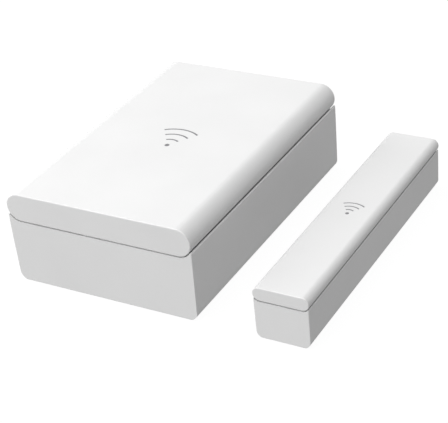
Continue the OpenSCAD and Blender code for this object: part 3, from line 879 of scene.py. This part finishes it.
def add_battery():
    """The cell: a steel can, and a shrunk sleeve that folds over both ends."""
    low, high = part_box("battery_cell")
    mid = middle("battery_cell")
    radius, length = (high.x - low.x)/2, high.y - low.y
    place = Matrix.Translation((mid.x, low.y, mid.z)) @ Matrix.Rotation(-math.pi/2, 4, "X")
    skin = 0.1*MM
    fold = [(radius - 1.6*MM, 0.02*MM), (radius - 0.8*MM, 0.0), (radius - 0.3*MM, 0.08*MM), (radius, 0.45*MM)]
    dent = [(radius - 0.35*MM*math.sin(math.pi*t/8)**2, length - 2.9*MM + 1.4*MM*t/8) for t in range(9)]
    outer = fold + dent + [(r, length - h) for r, h in fold[::-1]]
    inner = [(r - skin*0.7, min(max(h, skin), length - skin)) for r, h in outer[::-1]]
    bm = bmesh.new()
    add_lathe(bm, outer + inner, place, 96, closed=True)
    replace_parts(finish_piece("cell_sleeve", bm, cell_sleeve, "sensor_body"), "battery_cell")
    bm = bmesh.new()
    can = radius - skin
    profile = [(0, 0.05*MM), (can - 2.2*MM, 0.05*MM), (can - 1.9*MM, 0.12*MM), (can - 0.6*MM, 0.12*MM),
               (can - 0.1*MM, 0.5*MM), (can - 0.5*MM, length - 2.2*MM), (can - 0.1*MM, length - 0.5*MM),
               (can - 0.6*MM, length - 0.12*MM), (0, length - 0.12*MM)]
    add_lathe(bm, profile, place, 64)
    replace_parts(finish_piece("cell_can", bm, nickel, "sensor_body"), "battery_cell")


def screw_places(mount_name):
    """Centres of a bolt pattern's two holes."""
    mount = next(m for m in frame["record"]["mounts"] if m["name"] == mount_name)
    half = mount["dims"]["spacing_y_mm"]*MM/2
    return [(mount["pos_m"][0], mount["pos_m"][1] + s*half) for s in (-1, 1)]


def add_foam_pad(name, node, body, windows=()):
    """Adhesive foam with rounded edges, and round windows for the screws where it covers them."""
    low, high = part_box(node)
    thick, soft = high.z - low.z, 0.1*MM
    curve = bpy.data.curves.new(name, "CURVE")
    curve.dimensions = "2D"
    curve.fill_mode = "BOTH"
    curve.extrude = thick/2 - soft
    curve.bevel_depth = soft
    curve.bevel_resolution = 2
    loops = [rounded_outline((low.x + soft, low.y + soft), (high.x - soft, high.y - soft), 1.5*MM, 10)]
    loops += [circle_outline(centre, radius + soft, 48) for centre, radius in windows]
    for loop in loops:
        spline = curve.splines.new("POLY")
        spline.points.add(len(loop) - 1)
        spline.use_cyclic_u = True
        for point, (x, y) in zip(spline.points, loop):
            point.co = (x, y, 0, 1)
    draft = bpy.data.objects.new(name + "_outline", curve)
    draft.location.z = (low.z + high.z)/2
    bpy.context.scene.collection.objects.link(draft)
    bpy.context.view_layer.update()
    bm = bmesh.new()
    mesh = bpy.data.meshes.new_from_object(draft.evaluated_get(bpy.context.evaluated_depsgraph_get()))
    bm.from_mesh(mesh)
    bmesh.ops.remove_doubles(bm, verts=bm.verts, dist=0.001*MM)
    bm.transform(draft.matrix_world)
    bpy.data.meshes.remove(mesh)
    bpy.data.objects.remove(draft)
    pad = finish_piece(name, bm, pad_foam, body)
    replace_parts(pad, node)


add_tracks()
add_pads_and_vias()
add_legend()
add_module_edge()
add_solder()
add_coil()
add_controller()
add_chips("chip_capacitors", "capacitor_bodies", "capacitor_ends", ceramic, 0.22)
add_chips("chip_resistors", "resistor_bodies", "resistor_ends", black_epoxy, 0.2)
add_led()
for switch in SWITCHES:
    add_switch_plate(switch)
add_plunger("tamper_stem", "tamper_plunger", "tamper_key", acetal_white)
add_plunger("pairing_cap", "pairing_button", "pairing_key", acetal_red)
add_capacitor_detail()
add_battery()
WINDOW_R = 3.3*MM
screw_windows = [(place, WINDOW_R) for place in screw_places("sensor_screws")]
add_foam_pad("sensor_foam", "sensor_pad", "sensor_body", screw_windows)
add_foam_pad("magnet_foam", "magnet_pad", "magnet_unit")


# ---------------------------------------------------------------- floor and light

def add_floor():
    """Plain white floor that glows evenly and casts no light of its own on the object."""
    bm = bmesh.new()
    bmesh.ops.create_circle(bm, cap_ends=True, segments=96, radius=4.0)
    mesh = bpy.data.meshes.new("floor")
    bm.to_mesh(mesh)
    bm.free()
    floor = bpy.data.objects.new("floor", mesh)
    floor.location.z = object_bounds()[0][2]
    bpy.context.scene.collection.objects.link(floor)
    s = Shader("floor_white", (0.06, 0.06, 0.06), 0.9, specular=0.0)
    s.bsdf.inputs["Emission Color"].default_value = (1, 1, 1, 1)
    s.bsdf.inputs["Emission Strength"].default_value = 0.95
    mesh.materials.append(s.material)
    floor.visible_diffuse = False
    floor.visible_glossy = False


def add_softbox(name, direction, distance, size, power):
    """An area light that faces the object from a direction given as azimuth and elevation."""
    azimuth, elevation = (math.radians(a) for a in direction)
    away = Vector((math.sin(azimuth)*math.cos(elevation),
                   -math.cos(azimuth)*math.cos(elevation),
                   math.sin(elevation)))
    data = bpy.data.lights.new(name, "AREA")
    data.shape = "RECTANGLE"
    data.size, data.size_y = size
    data.energy = power
    light = bpy.data.objects.new(name, data)
    light.location = middle("sensor_base") + away*distance
    light.rotation_euler = away.to_track_quat("Z", "Y").to_euler()
    bpy.context.scene.collection.objects.link(light)


def add_world():
    """Even white light from all round, as in a light tent."""
    world = bpy.data.worlds.new("studio")
    world.use_nodes = True
    background = world.node_tree.nodes["Background"]
    background.inputs["Color"].default_value = (1, 1, 1, 1)
    background.inputs["Strength"].default_value = 0.43
    bpy.context.scene.world = world


add_floor()
add_world()
add_softbox("key_above", (-30, 82), 0.9, (1.0, 1.0), 6.55)
add_softbox("fill_front", (-15, 18), 0.9, (0.8, 0.5), 3.55)
add_softbox("side_left", (-95, 22), 0.9, (0.8, 0.5), 6.07)
bpy.context.scene.view_settings.view_transform = "Standard"
